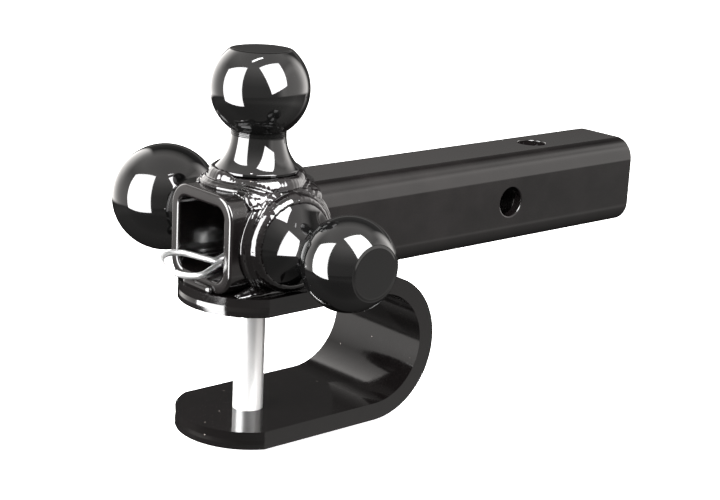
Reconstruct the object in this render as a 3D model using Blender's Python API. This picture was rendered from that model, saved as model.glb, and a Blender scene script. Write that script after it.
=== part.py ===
# A tri-ball hitch mount: a square tube shank with three tow balls and a bent bar hook welded to its
# front end. A clevis pin closes the hook, and a wire clip inside the tube keeps the pin.
#
# Frame: +Y runs back along the shank, +X to the smallest ball, +Z up. The origin lies on the flat
# underside of the hook, below the shank's centre line, in the plane of the shank's front end.

import math

import bmesh
import bpy
from mathutils import Matrix, Vector

# All driving sizes are in millimetres and degrees.
MM = 0.001

# Gap that meshes keep where the real pieces touch or are welded.
SEAT = 0.3

# Shank: a square tube.
TUBE_SIDE = 50.8
TUBE_WALL = 6.35
TUBE_CORNER = 12.3
TUBE_LENGTH = 300.0
HITCH_HOLE = 16.7
SIDE_HOLE_Y = 197.0
TOP_HOLE_Y = 237.8

# Hook: a flat bar bent to a U on its side.
HOOK_THICK = 9.5
HOOK_WIDTH = 70.0
HOOK_GAP = 61.0
HOOK_BEND_Y = 92.5
HOOK_NOSE = 38.2

# Clevis pin through both legs of the hook and the tube's floor.
PIN_Y = 33.6
PIN_DIAMETER = 15.875
PIN_HOLE = 16.7
PIN_ABOVE_FLOOR = 10.0
PIN_CHAMFER = 1.2
PIN_HEAD_DIAMETER = 25.4
PIN_HEAD_THICK = 5.0
PIN_HEAD_PLAY = 3.0
PIN_TURN = -3.0

# Wire clip through the pin.
WIRE = 3.2
CLIP_HOLE = 4.8
CLIP_HOLE_ABOVE_FLOOR = 3.25
CLIP_RISE = 2.5
CLIP_TILT = 14.5
CLIP_TAIL = 20.0
CLIP_NIP = 20.5
CLIP_NIP_GAP = 0.3
CLIP_LOOP_AHEAD = 38.8
CLIP_LOOP_ASIDE = 3.8
CLIP_LOOP_RADIUS = 12.1
CLIP_LEG_CLEARANCE = 0.3
CLIP_SHOULDER = 1.0
CLIP_HEEL = 2.0
CLIP_SPLAY = 3.0
CLIP_BEND = 4.0

# Balls: diameter, neck radius, and height of the ball's centre above the tube's face.
BALL_Y = 35.1
BALLS = {
    "top": {"diameter": 50.8, "neck": 14.2, "height": 48.4, "flat": 15.6},
    "right": {"diameter": 47.625, "neck": 13.6, "height": 48.7, "flat": 13.9},
    "left": {"diameter": 58.74, "neck": 16.4, "height": 55.9, "flat": 16.5},
}
NECK_LENGTH = 2.5
RIM_RADIUS = 21.6
RIM_HEIGHT = 8.4
RIM_BAND = 1.4
FOOT_RADIUS = 15.0
FLAT_EDGE = 0.9
FLAT_EDGE_ANGLE = 2.0

# Welds.
COLLAR_RADIUS = 28.6
COLLAR_DROP = 9.0
COLLAR_TOE = 1.0
CORNER_BEAD = 6.8
CORNER_BEAD_LENGTH = 48.0
CORNER_BEAD_OUT = 2.6
HOOK_BEAD_HEIGHT = 5.6
HOOK_BEAD_REACH = 32.0
HOOK_BEAD_FRONT = 6.0
HOOK_BEAD_REAR = 92.0
END_BEAD_HEIGHT = 4.6
END_BEAD_DEPTH = 3.1
END_BEAD_WIDTH = 22.0

# How far a cutter runs past what it cuts.
OVERRUN = 5.0

# Facets.
BALL_SIDES = 40
BALL_STEPS = 16
FLARE_STEPS = 6
BEAD_STEPS = 4
HOLE_SIDES = 32
PIN_SIDES = 32
WIRE_RESOLUTION = 3
EYE_STEPS = 22
CLIP_BEND_STEPS = 4
CORNER_STEPS = 6
BEND_STEPS = 20
SMOOTH_ANGLE = 32.0
WELD_SMOOTH_ANGLE = 40.0

# Levels that follow from the sizes above.
LEG_TOP = 2 * HOOK_THICK + HOOK_GAP
TUBE_FACE = TUBE_SIDE / 2
AXIS_Z = LEG_TOP + SEAT + TUBE_FACE
FLOOR_Z = AXIS_Z - TUBE_FACE + TUBE_WALL
PIN_TOP = FLOOR_Z + PIN_ABOVE_FLOOR
CLIP_Z = FLOOR_Z + CLIP_HOLE_ABOVE_FLOOR

FINISHES = {
    "black_paint": ((0.028, 0.026, 0.025), 0.0, 0.38),
    "gloss_black": ((0.012, 0.012, 0.013), 0.0, 0.16),
    "mirror_black": ((0.004, 0.004, 0.004), 0.0, 0.05),
    "bright_zinc": ((0.72, 0.73, 0.75), 1.0, 0.24),
}


def clear_scene():
    for item in list(bpy.data.objects):
        bpy.data.objects.remove(item, do_unlink=True)


def make_material(name, finish):
    colour, metallic, roughness = FINISHES[finish]
    material = bpy.data.materials.new(name)
    material.use_nodes = True
    shader = material.node_tree.nodes["Principled BSDF"]
    shader.inputs["Base Color"].default_value = (*colour, 1.0)
    shader.inputs["Metallic"].default_value = metallic
    shader.inputs["Roughness"].default_value = roughness
    return material


def make_object(name, shape, finish=None, place=None):
    """Turn a bmesh in millimetres into an object in metres, turned and moved by place."""
    bmesh.ops.remove_doubles(shape, verts=shape.verts, dist=0.0005)
    bmesh.ops.recalc_face_normals(shape, faces=shape.faces)
    shape.transform(Matrix.Scale(MM, 4))
    mesh = bpy.data.meshes.new(name)
    shape.to_mesh(mesh)
    shape.free()
    item = bpy.data.objects.new(name, mesh)
    bpy.context.scene.collection.objects.link(item)
    if finish:
        mesh.materials.append(make_material(name + "_" + finish, finish))
    if place:
        item.matrix_world = place
    return item


def smooth(item, angle=SMOOTH_ANGLE):
    item.data.shade_smooth()
    item.data.set_sharp_from_angle(angle=math.radians(angle))


def placed(x, y, z, turn=None):
    """A place in millimetres, with an optional rotation before the move."""
    move = Matrix.Translation(Vector((x, y, z)) * MM)
    return move @ turn if turn else move


def hide_cutter(item):
    item.hide_render = True
    item.display_type = "WIRE"
    return item


def cut(item, tool, operation="DIFFERENCE"):
    modifier = item.modifiers.new(operation.title() + "_" + tool.name, "BOOLEAN")
    modifier.operation = operation
    modifier.object = tool
    modifier.solver = "EXACT"
    return item


def prism(outline, start, end, axis):
    """Extrude a closed outline of (a, b) points along an axis, from start to end.
    The points are (x, z) for axis Y, (y, z) for axis X and (x, y) for axis Z."""
    shape = bmesh.new()
    spots = {
        "X": lambda a, b: (start, a, b),
        "Y": lambda a, b: (a, start, b),
        "Z": lambda a, b: (a, b, start),
    }[axis]
    way = {"X": (1, 0, 0), "Y": (0, 1, 0), "Z": (0, 0, 1)}[axis]
    corners = [shape.verts.new(spots(a, b)) for a, b in outline]
    face = shape.faces.new(corners)
    swept = bmesh.ops.extrude_face_region(shape, geom=[face])
    moved = [part for part in swept["geom"] if isinstance(part, bmesh.types.BMVert)]
    bmesh.ops.translate(shape, verts=moved, vec=Vector(way) * (end - start))
    return shape


def turned(profile, sides):
    """Spin an open profile of (radius, height) points, both ends on the Z axis, round that axis."""
    shape = bmesh.new()
    spots = [shape.verts.new((radius, 0, height)) for radius, height in profile]
    edges = [shape.edges.new(pair) for pair in zip(spots, spots[1:])]
    bmesh.ops.spin(shape, geom=spots + edges, cent=(0, 0, 0), axis=(0, 0, 1),
                   angle=math.tau, steps=sides, use_duplicate=False)
    bmesh.ops.remove_doubles(shape, verts=shape.verts, dist=0.001)
    return shape


def ring(profile, sides):
    """Spin a closed profile of (radius, height) points, clear of the Z axis, round that axis."""
    shape = bmesh.new()
    spots = [shape.verts.new((radius, 0, height)) for radius, height in profile]
    face = shape.faces.new(spots)
    edges = list(face.edges)
    bmesh.ops.delete(shape, geom=[face], context="FACES_ONLY")
    bmesh.ops.spin(shape, geom=spots + edges, cent=(0, 0, 0), axis=(0, 0, 1),
                   angle=math.tau, steps=sides, use_duplicate=False)
    bmesh.ops.remove_doubles(shape, verts=shape.verts, dist=0.001)
    return shape


def arc(centre, radius, start, end, steps):
    """Points on an arc, angles in degrees."""
    points = []
    for step in range(steps + 1):
        angle = math.radians(start + (end - start) * step / steps)
        points.append((centre[0] + radius * math.cos(angle), centre[1] + radius * math.sin(angle)))
    return points


def rounded_square(side, corner, height):
    """Outline of a rounded square in (x, z), its centre at the given height."""
    inset = side / 2 - corner
    points = []
    for quarter, (across, up) in enumerate([(1, 1), (-1, 1), (-1, -1), (1, -1)]):
        centre = (across * inset, height + up * inset)
        points += arc(centre, corner, quarter * 90, quarter * 90 + 90, CORNER_STEPS)
    return points


def drill(name, diameter, length, place):
    """A round cutter along its own Z axis."""
    profile = [(0, -length / 2), (diameter / 2, -length / 2), (diameter / 2, length / 2), (0, length / 2)]
    return hide_cutter(make_object(name, turned(profile, HOLE_SIDES), place=place))


ALONG_X = Matrix.Rotation(math.radians(90), 4, "Y")
ALONG_Y = Matrix.Rotation(math.radians(-90), 4, "X")


def grown_tube(name):
    """The shank's outside with the seat gap added, for cutting what is welded to it."""
    outline = rounded_square(TUBE_SIDE + 2 * SEAT, TUBE_CORNER + SEAT, AXIS_Z)
    return hide_cutter(make_object(name, prism(outline, -SEAT, TUBE_LENGTH + SEAT, "Y")))


def build_shank():
    shape = bmesh.new()
    outer = rounded_square(TUBE_SIDE, TUBE_CORNER, AXIS_Z)
    inner = rounded_square(TUBE_SIDE - 2 * TUBE_WALL, TUBE_CORNER - TUBE_WALL, AXIS_Z)
    outside = [shape.verts.new((x, 0, z)) for x, z in outer]
    inside = [shape.verts.new((x, 0, z)) for x, z in inner]
    count = len(outside)
    faces = []
    for index in range(count):
        after = (index + 1) % count
        faces.append(shape.faces.new((outside[index], outside[after], inside[after], inside[index])))
    swept = bmesh.ops.extrude_face_region(shape, geom=faces)
    moved = [part for part in swept["geom"] if isinstance(part, bmesh.types.BMVert)]
    bmesh.ops.translate(shape, verts=moved, vec=(0, TUBE_LENGTH, 0))
    tube = make_object("shank_tube", shape, "black_paint")
    through = TUBE_SIDE * 1.5
    side = drill("side_hole", HITCH_HOLE, through, placed(0, SIDE_HOLE_Y, AXIS_Z, ALONG_X))
    top = drill("top_hole", HITCH_HOLE, through, placed(0, TOP_HOLE_Y, AXIS_Z))
    pin = drill("floor_hole", PIN_HOLE, TUBE_WALL * 3, placed(0, PIN_Y, FLOOR_Z - TUBE_WALL / 2))
    for tool in (side, top, pin):
        cut(tube, tool)
    smooth(tube)
    return tube


def ball_profile(sizes):
    """Radius and height of a ball, its neck, its flare and its foot, from the crown down.
    Heights are above the tube's face."""
    radius = sizes["diameter"] / 2
    centre = sizes["height"]
    flat_angle = math.degrees(math.acos(sizes["flat"] / radius))
    neck_angle = -math.degrees(math.acos(sizes["neck"] / radius))
    crown = centre + radius * math.sin(math.radians(flat_angle))
    junction = centre + radius * math.sin(math.radians(neck_angle))
    profile = [(0, crown), (sizes["flat"] - FLAT_EDGE, crown)]
    profile += arc((0, centre), radius, flat_angle - FLAT_EDGE_ANGLE, neck_angle, BALL_STEPS)
    flare_top = junction - NECK_LENGTH
    drop = flare_top - RIM_HEIGHT
    spread = RIM_RADIUS - sizes["neck"]
    sweep = (drop * drop + spread * spread) / (2 * spread)
    end = math.degrees(math.asin(min(1.0, drop / sweep)))
    flare = arc((sizes["neck"] + sweep, flare_top), sweep, 180, 180 + end, FLARE_STEPS)
    profile += flare
    profile += [(RIM_RADIUS, RIM_HEIGHT - RIM_BAND), (FOOT_RADIUS, SEAT), (0, SEAT)]
    return profile


def face_turns():
    """Each ball's own Z axis turned onto its face of the tube."""
    centre = placed(0, BALL_Y, AXIS_Z)
    up = Matrix.Translation(Vector((0, 0, TUBE_FACE)) * MM)
    return {
        "top": centre @ up,
        "right": centre @ Matrix.Rotation(math.radians(90), 4, "Y") @ up,
        "left": centre @ Matrix.Rotation(math.radians(-90), 4, "Y") @ up,
    }


def build_balls():
    for side, place in face_turns().items():
        ball = make_object(side + "_ball", turned(ball_profile(BALLS[side]), BALL_SIDES),
                           "mirror_black", place)
        smooth(ball)


def foot_cutters(name):
    """The feet of the three balls with the seat gap added."""
    cutters = []
    for side, place in face_turns().items():
        low, high = -COLLAR_DROP, RIM_HEIGHT + OVERRUN
        gap = foot_gap()
        profile = [(0, low), (FOOT_RADIUS + gap, low), (FOOT_RADIUS + gap, SEAT),
                   (RIM_RADIUS + gap, RIM_HEIGHT - RIM_BAND), (RIM_RADIUS + gap, high), (0, high)]
        cutters.append(hide_cutter(make_object(name + "_" + side, turned(profile, BALL_SIDES), place=place)))
    return cutters


def foot_gap():
    """How far out a line parallel to the foot's cone lies, one seat gap away from it."""
    slope = (RIM_HEIGHT - RIM_BAND - SEAT) / (RIM_RADIUS - FOOT_RADIUS)
    return SEAT * math.sqrt(1 + slope * slope) / slope


def collar_profile():
    """Section of the weld round a ball's foot: it fills the groove and bulges past the rim."""
    gap = foot_gap()
    brim = RIM_RADIUS + gap
    crest = RIM_HEIGHT - RIM_BAND + SEAT
    bulge = []
    for step in range(BEAD_STEPS + 1):
        angle = math.radians(90 * step / BEAD_STEPS)
        height = (crest + COLLAR_TOE) * math.cos(angle) - COLLAR_TOE
        bulge.append((brim + (COLLAR_RADIUS - brim) * math.sin(angle), height))
    inside = FOOT_RADIUS + gap / 2
    return [(inside, 0)] + bulge + [(COLLAR_RADIUS, -COLLAR_DROP), (inside, -COLLAR_DROP)]


def wedge(name, turn, trim):
    """A big triangular prism that keeps one ball's quarter of the tube's corners."""
    reach = COLLAR_RADIUS * 3
    outline = [(-reach + trim, reach), (0, trim), (reach - trim, reach)]
    tool = make_object(name, prism(outline, BALL_Y - reach, BALL_Y + reach, "Y"))
    tool.matrix_world = placed(0, 0, AXIS_Z) @ Matrix.Rotation(math.radians(turn), 4, "Y")
    return hide_cutter(tool)


def corner_bead_shape(growth):
    """A long lens of weld along the tube's corner. It is turned so that no facet lies along the
    planes that cut it."""
    shape = bmesh.new()
    bmesh.ops.create_icosphere(shape, subdivisions=3, radius=1.0)
    facet_turn = Matrix.Rotation(math.radians(11), 4, "Y") @ Matrix.Rotation(math.radians(5), 4, "X")
    bmesh.ops.transform(shape, matrix=facet_turn, verts=shape.verts)
    across = CORNER_BEAD + growth
    along = CORNER_BEAD_LENGTH / 2 + growth
    bmesh.ops.scale(shape, verts=shape.verts, vec=(across, along, across))
    return shape


def corner_place(side):
    corner = TUBE_FACE - TUBE_CORNER + TUBE_CORNER * math.sqrt(0.5) + CORNER_BEAD_OUT * math.sqrt(0.5)
    return placed(side * corner, BALL_Y, AXIS_Z + corner)


def build_ball_welds():
    skin = grown_tube("tube_for_collars")
    corners = [hide_cutter(make_object("corner_room_" + label, corner_bead_shape(SEAT),
                                       place=corner_place(side)))
               for label, side in (("right", 1), ("left", -1))]
    reach = COLLAR_RADIUS * 2
    level = LEG_TOP + HOOK_BEAD_HEIGHT + 2 * SEAT
    low = prism([(-2 * reach, 0), (2 * reach, 0), (2 * reach, level), (-2 * reach, level)],
                BALL_Y - reach, BALL_Y + reach, "Y")
    below = hide_cutter(make_object("below_collars", low))
    for label, turn in (("top", 0), ("right", 90), ("left", -90)):
        half_facet = Matrix.Rotation(math.pi / BALL_SIDES, 4, "Z")
        collar = make_object("weld_" + label + "_ball", ring(collar_profile(), BALL_SIDES),
                             "gloss_black", face_turns()[label] @ half_facet)
        cut(collar, skin)
        cut(collar, wedge("quarter_" + label, turn, SEAT), "INTERSECT")
        for corner in corners:
            cut(collar, corner)
        if label != "top":
            cut(collar, below)
        smooth(collar, WELD_SMOOTH_ANGLE)
    feet = foot_cutters("foot")
    for label, side in (("right", 1), ("left", -1)):
        bead = make_object("weld_corner_" + label, corner_bead_shape(0), "gloss_black",
                           corner_place(side))
        cut(bead, skin)
        for foot in feet:
            cut(bead, foot)
        smooth(bead, WELD_SMOOTH_ANGLE)


def hook_outline():
    """Side view of the bent bar in (y, z): out along the lower leg, round, and back."""
    middle = HOOK_THICK + HOOK_GAP / 2
    front = PIN_Y - HOOK_NOSE - OVERRUN
    inner = arc((HOOK_BEND_Y, middle), HOOK_GAP / 2, -90, 90, BEND_STEPS)
    outer = arc((HOOK_BEND_Y, middle), HOOK_GAP / 2 + HOOK_THICK, 90, -90, BEND_STEPS)
    lower = HOOK_THICK
    upper = HOOK_THICK + HOOK_GAP
    return [(front, lower)] + inner + [(front, upper), (front, LEG_TOP)] + outer + [(front, 0)]


def hook_plan():
    """Plan of the bar in (x, y): a nose round the pin, then straight sides."""
    half = HOOK_WIDTH / 2
    side = math.degrees(math.acos(half / HOOK_NOSE))
    nose = arc((0, PIN_Y), HOOK_NOSE, 180 + side, 360 - side, BEND_STEPS)
    back = HOOK_BEND_Y + HOOK_GAP / 2 + HOOK_THICK + OVERRUN
    return nose + [(half, back), (-half, back)]


def build_hook():
    hook = make_object("tow_hook", prism(hook_outline(), -HOOK_WIDTH, HOOK_WIDTH, "X"), "gloss_black")
    plan = hide_cutter(make_object("hook_plan", prism(hook_plan(), -OVERRUN, LEG_TOP + OVERRUN, "Z")))
    hole = drill("hook_pin_hole", PIN_HOLE, LEG_TOP * 1.5, placed(0, PIN_Y, LEG_TOP / 2))
    cut(hook, plan, "INTERSECT")
    cut(hook, hole)
    smooth(hook)
    return hook


def bead_section(foot, level, depth, height):
    """A quarter of an ellipse, with its corner at (foot, level)."""
    points = [(foot, level)]
    for step in range(BEAD_STEPS + 1):
        angle = math.radians(90 * step / BEAD_STEPS)
        points.append((foot + depth * math.cos(angle), level + height * math.sin(angle)))
    return points


def build_hook_welds():
    skin = grown_tube("tube_for_beads")
    base = LEG_TOP + SEAT
    root = TUBE_FACE - TUBE_CORNER
    for label, side in (("right", 1), ("left", -1)):
        section = bead_section(side * root, base, side * (HOOK_BEAD_REACH - root), HOOK_BEAD_HEIGHT - SEAT)
        bead = make_object("weld_hook_" + label, prism(section, HOOK_BEAD_FRONT, HOOK_BEAD_REAR, "Y"),
                           "gloss_black")
        cut(bead, skin)
        smooth(bead, WELD_SMOOTH_ANGLE)
    half = END_BEAD_WIDTH / 2
    section = bead_section(-SEAT, base, -END_BEAD_DEPTH, END_BEAD_HEIGHT)
    front = make_object("weld_hook_front", prism(section, -half, half, "X"), "gloss_black")
    smooth(front, WELD_SMOOTH_ANGLE)


def build_pin():
    """The pin hangs from its clip, so its head stands a little off the hook's underside."""
    radius = PIN_DIAMETER / 2
    head = PIN_HEAD_DIAMETER / 2
    head_top = -PIN_HEAD_PLAY
    head_foot = head_top - PIN_HEAD_THICK
    profile = [(0, head_foot), (head - PIN_CHAMFER, head_foot), (head, head_foot + PIN_CHAMFER),
               (head, head_top), (radius, head_top), (radius, PIN_TOP - PIN_CHAMFER),
               (radius - PIN_CHAMFER, PIN_TOP), (0, PIN_TOP)]
    pin = make_object("hook_pin", turned(profile, PIN_SIDES), "bright_zinc", placed(0, PIN_Y, 0))
    across = Matrix.Rotation(math.radians(PIN_TURN), 4, "Z") @ ALONG_Y
    cut(pin, drill("clip_hole", CLIP_HOLE, PIN_DIAMETER * 2, placed(0, PIN_Y, CLIP_Z, across)))
    smooth(pin)
    return pin


def tangent_spot(point, centre, radius, hand):
    """Where a line from point touches a circle, on the left for hand +1 or the right for -1."""
    away = Vector(centre) - Vector(point)
    lean = math.asin(radius / away.length) * hand
    length = math.sqrt(away.length_squared - radius * radius)
    way = Matrix.Rotation(lean, 2) @ away.normalized()
    return Vector(point) + way * length


def rounded_path(points, radius, steps):
    """Replace each inner corner of a line of points by an arc."""
    path = [Vector(points[0])]
    for before, corner, after in zip(points, points[1:], points[2:]):
        corner = Vector(corner)
        back = (Vector(before) - corner).normalized()
        on = (Vector(after) - corner).normalized()
        half = back.angle(on) / 2
        reach = radius / math.tan(half)
        middle = corner + (back + on).normalized() * (radius / math.sin(half))
        start = corner + back * reach - middle
        end = corner + on * reach - middle
        sweep = start.angle_signed(end)
        for step in range(steps + 1):
            path.append(middle + Matrix.Rotation(-sweep * step / steps, 2) @ start)
    path.append(Vector(points[-1]))
    return path


def clip_path():
    """The wire's centre line as (ahead, aside) of the pin: the straight leg, the eye, and the outer
    leg, which passes beside the pin."""
    loop = (CLIP_LOOP_AHEAD, -CLIP_LOOP_ASIDE)
    nip_near = (CLIP_NIP, 0.0)
    nip_far = (CLIP_NIP, -(WIRE + CLIP_NIP_GAP))
    touch_near = tangent_spot(nip_near, loop, CLIP_LOOP_RADIUS, 1)
    touch_far = tangent_spot(nip_far, loop, CLIP_LOOP_RADIUS, -1)
    first = math.degrees(math.atan2(touch_near[1] - loop[1], touch_near[0] - loop[0]))
    last = math.degrees(math.atan2(touch_far[1] - loop[1], touch_far[0] - loop[0]))
    eye = arc(loop, CLIP_LOOP_RADIUS, first, last, EYE_STEPS)
    beside = -(PIN_DIAMETER / 2 + WIRE / 2 + CLIP_LEG_CLEARANCE)
    shoulder = (PIN_DIAMETER / 2 + CLIP_SHOULDER, beside)
    heel = (-PIN_DIAMETER / 2 - CLIP_HEEL, beside)
    tail = (-CLIP_TAIL, beside - CLIP_SPLAY)
    near = rounded_path([(-CLIP_TAIL, 0.0), nip_near, eye[0]], CLIP_BEND, CLIP_BEND_STEPS)
    far = rounded_path([eye[-1], nip_far, shoulder, heel, tail], CLIP_BEND, CLIP_BEND_STEPS)
    return near[:-1] + [Vector(spot) for spot in eye] + far[1:]


def build_clip():
    """The clip's own axes: +Y runs back along the straight leg, X across, Z up."""
    curve = bpy.data.curves.new("pull_clip", "CURVE")
    curve.dimensions = "3D"
    curve.bevel_depth = WIRE / 2 * MM
    curve.bevel_resolution = WIRE_RESOLUTION
    curve.use_fill_caps = True
    path = clip_path()
    spline = curve.splines.new("POLY")
    spline.points.add(len(path) - 1)
    for spot, (ahead, aside) in zip(spline.points, path):
        spot.co = (aside * MM, -ahead * MM, 0, 1)
    clip = bpy.data.objects.new("pull_clip", curve)
    bpy.context.scene.collection.objects.link(clip)
    curve.materials.append(make_material("pull_clip_bright_zinc", "bright_zinc"))
    lean = (Matrix.Rotation(math.radians(PIN_TURN), 4, "Z")
            @ Matrix.Rotation(math.radians(-CLIP_RISE), 4, "X")
            @ Matrix.Rotation(math.radians(CLIP_TILT), 4, "Y"))
    clip.matrix_world = placed(0, PIN_Y, CLIP_Z, lean)
    return clip


clear_scene()
build_shank()
build_balls()
build_ball_welds()
build_hook()
build_hook_welds()
build_pin()
build_clip()
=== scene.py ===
# %% [markdown]
# # A tri-ball hitch mount, modelled and lit
#
# A tow mount has a square steel shank that slides into the receiver of a car. Three tow balls of
# different sizes are welded to its front end. A bent bar under it makes a hook, which a pin closes.
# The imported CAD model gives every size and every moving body. This lesson models each piece again
# with round edges, welds and real finishes, and lights it as a studio would. Lengths are given in
# millimetres, and MM turns them to Blender's metres.

# %% Load the frame
import math
import random

import bmesh
import bpy
from mathutils import Matrix, Vector


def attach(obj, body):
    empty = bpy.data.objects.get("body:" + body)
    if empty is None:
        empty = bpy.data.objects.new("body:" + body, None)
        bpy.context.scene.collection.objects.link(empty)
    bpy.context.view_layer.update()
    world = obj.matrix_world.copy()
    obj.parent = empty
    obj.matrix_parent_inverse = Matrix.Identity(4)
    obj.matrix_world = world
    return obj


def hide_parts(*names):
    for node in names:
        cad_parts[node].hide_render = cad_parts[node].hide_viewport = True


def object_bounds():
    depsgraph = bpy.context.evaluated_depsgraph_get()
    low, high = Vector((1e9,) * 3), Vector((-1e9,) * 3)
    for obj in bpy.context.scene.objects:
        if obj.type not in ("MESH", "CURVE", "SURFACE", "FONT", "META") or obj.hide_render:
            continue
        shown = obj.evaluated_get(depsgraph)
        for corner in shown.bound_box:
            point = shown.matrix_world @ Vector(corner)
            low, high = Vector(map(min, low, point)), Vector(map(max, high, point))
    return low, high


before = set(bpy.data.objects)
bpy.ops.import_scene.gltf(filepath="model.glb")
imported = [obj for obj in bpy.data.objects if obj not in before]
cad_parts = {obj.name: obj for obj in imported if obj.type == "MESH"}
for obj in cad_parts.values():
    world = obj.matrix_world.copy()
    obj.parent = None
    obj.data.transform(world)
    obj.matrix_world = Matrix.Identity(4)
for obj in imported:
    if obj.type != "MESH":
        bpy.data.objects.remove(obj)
cad_low, cad_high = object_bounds()
MM = 0.001
print("CAD box in mm:", [round(v / MM, 1) for v in (*cad_low, *cad_high)])

# %% [markdown]
# ## The camera
#
# The photographer stood a little above the object, ahead of it and to its right, with a short
# telephoto lens. The place was found by fitting the outline of the CAD model to the picture. The
# camera rolls by three degrees, so its three axes are built from azimuth, elevation and roll.

# %% Camera
CAMERA_AZIMUTH = math.radians(48.401)
CAMERA_ELEVATION = math.radians(15.546)
CAMERA_ROLL = math.radians(2.897)
CAMERA_PLACE = Vector((0.66244, -0.48061, 0.33074))
LENS_MM = 84.307
SENSOR_MM = 36.0

to_camera = Vector((math.sin(CAMERA_AZIMUTH) * math.cos(CAMERA_ELEVATION),
                    -math.cos(CAMERA_AZIMUTH) * math.cos(CAMERA_ELEVATION),
                    math.sin(CAMERA_ELEVATION)))
level_right = Vector((math.cos(CAMERA_AZIMUTH), math.sin(CAMERA_AZIMUTH), 0.0))
level_up = to_camera.cross(level_right)
camera_right = math.cos(CAMERA_ROLL) * level_right + math.sin(CAMERA_ROLL) * level_up
camera_up = math.cos(CAMERA_ROLL) * level_up - math.sin(CAMERA_ROLL) * level_right

camera_data = bpy.data.cameras.new("portrait_camera")
camera_data.lens = LENS_MM
camera_data.sensor_width = SENSOR_MM
camera = bpy.data.objects.new("portrait_camera", camera_data)
bpy.context.scene.collection.objects.link(camera)
camera_turn = Matrix((camera_right, camera_up, to_camera)).transposed()
camera.matrix_world = Matrix.Translation(CAMERA_PLACE) @ camera_turn.to_4x4()
bpy.context.scene.camera = camera
bpy.context.scene.view_settings.view_transform = "Standard"
print("Camera stands", round(CAMERA_PLACE.length / MM), "mm from the origin")

# %% [markdown]
# ## Nodes and colours
#
# Every finish is a small node tree. One function adds a node, sets its values, joins its inputs and
# gives a colour ramp its stops. Another turns the familiar hex colours, which are sRGB, to the
# linear values that a shader works with.


# %% Helpers for nodes and colours
def linear(code):
    """Turn an sRGB hex colour to linear red, green, blue and full alpha."""
    values = [int(code[start:start + 2], 16) / 255 for start in (0, 2, 4)]
    curve = [v / 12.92 if v <= 0.04045 else ((v + 0.055) / 1.055) ** 2.4 for v in values]
    return (*curve, 1.0)


def add_node(tree, kind, settings=None, values=None, links=None, stops=()):
    """Add a node with its settings, its input values, what its inputs are joined to and the stops
    of its ramp, each a position with a grey value or a colour."""
    node = tree.nodes.new(kind)
    for name, value in (settings or {}).items():
        setattr(node, name, value)
    for name, value in (values or {}).items():
        node.inputs[name].default_value = value
    for name, output in (links or {}).items():
        tree.links.new(output, node.inputs[name])
    for index, (position, tone) in enumerate(stops):
        ramp = node.color_ramp.elements
        if index == 0:
            ramp.remove(ramp[1])
        stop = ramp.new(position) if index else ramp[0]
        stop.position = position
        stop.color = tone if isinstance(tone, tuple) else (tone, tone, tone, 1.0)
    return node


# %% [markdown]
# ## The studio
#
# Gloss black paint shows the room more than itself, so the room has to be right before any finish
# can be judged. The picture was taken in a light tent: two bright walls behind the object, left and
# right, with a dark gap between them, a paler roof and a dim table. The world shader plays the tent.
# It measures each direction three ways, along the camera's right, towards the camera and up, and
# ramps turn those into brightness. The camera itself sees plain white.

# %% Directions in the tent
world = bpy.data.worlds.new("light_tent")
bpy.context.scene.world = world
world.use_nodes = True
sky = world.node_tree
sky.nodes.clear()
way = add_node(sky, "ShaderNodeTexCoord").outputs["Generated"]
measures = {}
for label, axis in (("right", camera_right), ("front", to_camera), ("up", Vector((0, 0, 1)))):
    along = add_node(sky, "ShaderNodeVectorMath", {"operation": "DOT_PRODUCT"}, {1: axis}, {0: way})
    half = add_node(sky, "ShaderNodeMath", {"operation": "MULTIPLY_ADD"}, {1: 0.5, 2: 0.5},
                    {0: along.outputs["Value"]})
    measures[label] = half.outputs[0]
print("The tent is measured along", ", ".join(measures))

# %% [markdown]
# Behind the object the two walls stand either side of the gap, and a faint patch of backdrop glows
# low in the gap. Each wall fades towards its top.

# %% Back of the tent
back_walls = add_node(sky, "ShaderNodeValToRGB", links={"Fac": measures["right"]},
                      stops=[(0.0, 0.36), (0.15, 0.75), (0.30, 0.95), (0.33, 0.9), (0.36, 0.02),
                             (0.77, 0.02), (0.82, 0.6), (0.86, 1.0), (0.92, 0.95), (0.965, 0.7),
                             (1.0, 0.45)])
wall_height = add_node(sky, "ShaderNodeValToRGB", links={"Fac": measures["up"]},
                       stops=[(0.0, 1.0), (0.75, 1.0), (0.9, 0.5), (1.0, 0.3)])
backdrop = add_node(sky, "ShaderNodeValToRGB", links={"Fac": measures["up"]},
                    stops=[(0.0, 0.0), (0.585, 0.005), (0.61, 0.05), (0.635, 0.05), (0.66, 0.005),
                           (1.0, 0.0)])
behind = add_node(sky, "ShaderNodeMath", {"operation": "MULTIPLY_ADD"},
                  links={0: back_walls.outputs["Color"], 1: wall_height.outputs["Color"],
                         2: backdrop.outputs["Color"]})

# %% [markdown]
# The sides of the tent and its roof light the front half, whichever is brighter in a direction. A
# ramp from back to front then joins the two halves.

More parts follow.
